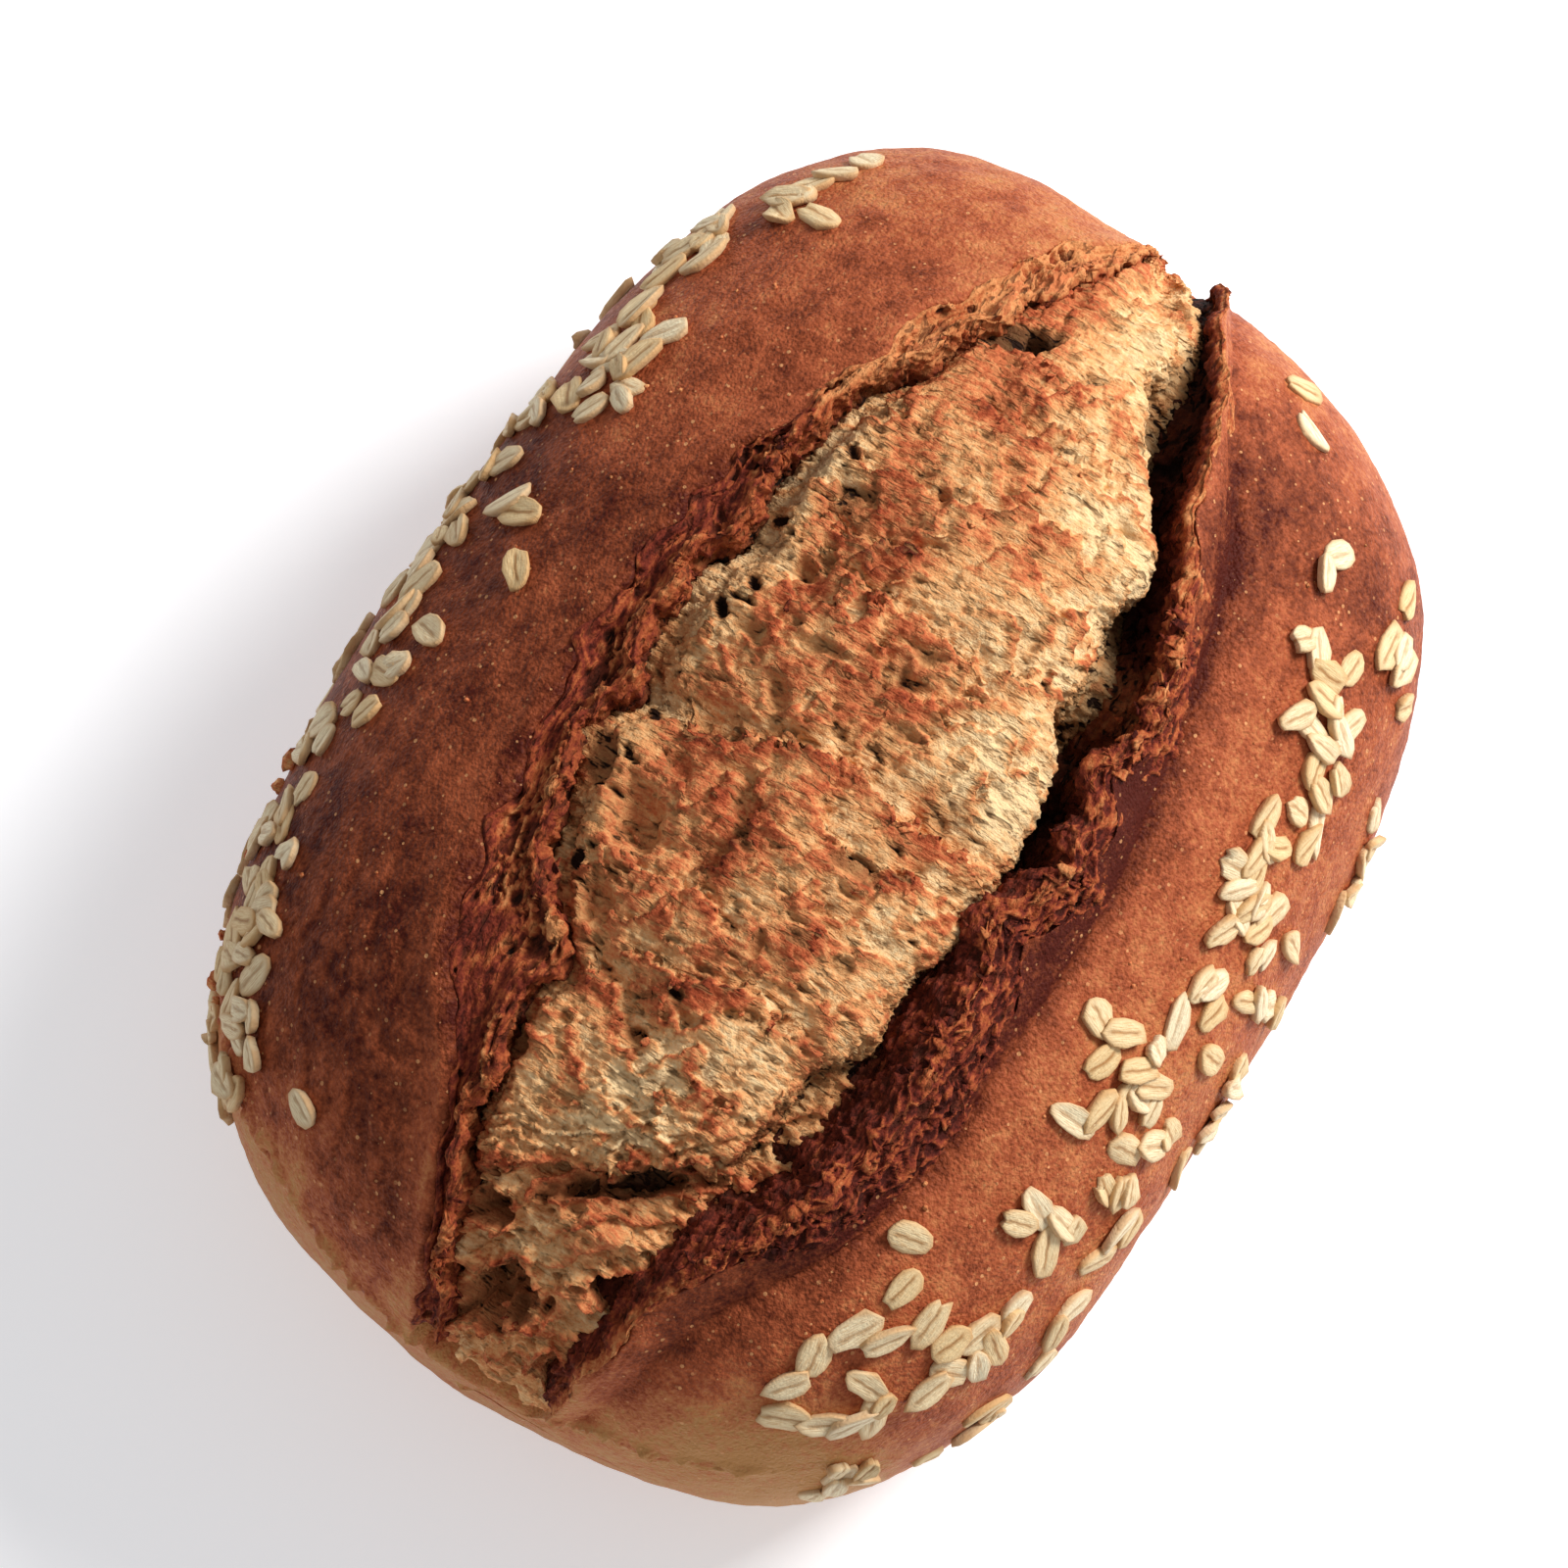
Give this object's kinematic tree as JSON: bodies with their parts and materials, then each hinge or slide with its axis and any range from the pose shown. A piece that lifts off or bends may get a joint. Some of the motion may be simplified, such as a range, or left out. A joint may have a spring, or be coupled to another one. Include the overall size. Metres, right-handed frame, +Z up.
{
  "type": "oat bread loaf",
  "caption": "Long hearth loaf of brown oat bread, torn open along the top with a raised crumb and a lifted ear of crust, with rolled oats baked on to both long sides.",
  "frame": {"origin": "on the flat base, under the middle of the loaf's box", "axes": "+X along the loaf, +Z up off the base, -Y towards the side with the lifted ear"},
  "size_m": [0.2124, 0.1548, 0.0942],
  "materials": {
    "crust": "matte browned crust, with pale brown crumb where it tore and cream rolled oats on the sides"
  },
  "bodies": {
    "root": {"oat_loaf": "crust"}
  },
  "joints": []
}
